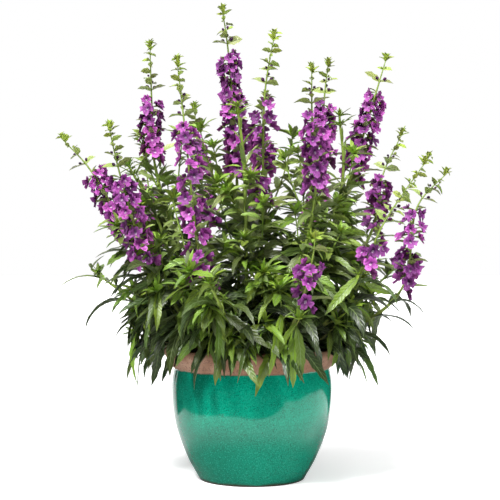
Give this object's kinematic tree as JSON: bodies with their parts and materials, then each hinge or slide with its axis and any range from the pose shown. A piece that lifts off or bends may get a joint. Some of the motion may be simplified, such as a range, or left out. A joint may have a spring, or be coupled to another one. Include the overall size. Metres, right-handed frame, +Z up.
{
  "type": "potted angelonia",
  "caption": "Bushy bedding plant with upright spikes of small violet flowers over narrow leaves, growing in a round glazed pot with a bare clay rim.",
  "frame": {"origin": "middle of the pot's foot, on the surface that the pot stands on", "axes": "+Z up along the pot's axis, +X to the right and +Y to the back as seen from the front"},
  "size_m": [0.4986, 0.4652, 0.6001],
  "materials": {
    "glazed_clay": "gloss",
    "potting_soil": "matte",
    "foliage": "satin",
    "petals": "satin",
    "buds": "satin"
  },
  "bodies": {
    "root": {"pot": "glazed_clay", "soil": "potting_soil", "stem_01": "foliage", "spike_01": "petals", "tip_01": "buds", "stem_02": "foliage", "spike_02": "petals", "tip_02": "buds", "stem_03": "foliage", "spike_03": "petals", "tip_03": "buds", "stem_04": "foliage", "spike_04": "petals", "tip_04": "buds", "stem_05": "foliage", "spike_05": "petals", "tip_05": "buds", "stem_06": "foliage", "spike_06": "petals", "tip_06": "buds", "stem_07": "foliage", "spike_07": "petals", "tip_07": "buds", "stem_08": "foliage", "spike_08": "petals", "tip_08": "buds", "stem_09": "foliage", "spike_09": "petals", "tip_09": "buds", "stem_10": "foliage", "spike_10": "petals", "tip_10": "buds", "stem_11": "foliage", "spike_11": "petals", "tip_11": "buds", "stem_12": "foliage", "spike_12": "petals", "tip_12": "buds", "stem_13": "foliage", "spike_13": "petals", "tip_13": "buds", "stem_14": "foliage", "spike_14": "petals", "tip_14": "buds", "stem_15": "foliage", "spike_15": "petals", "tip_15": "buds", "stem_16": "foliage", "spike_16": "petals", "tip_16": "buds", "stem_17": "foliage", "spike_17": "petals", "tip_17": "buds", "shoot_01": "foliage", "shoot_02": "foliage", "shoot_03": "foliage", "shoot_04": "foliage", "shoot_05": "foliage", "shoot_06": "foliage", "shoot_07": "foliage"}
  },
  "joints": []
}
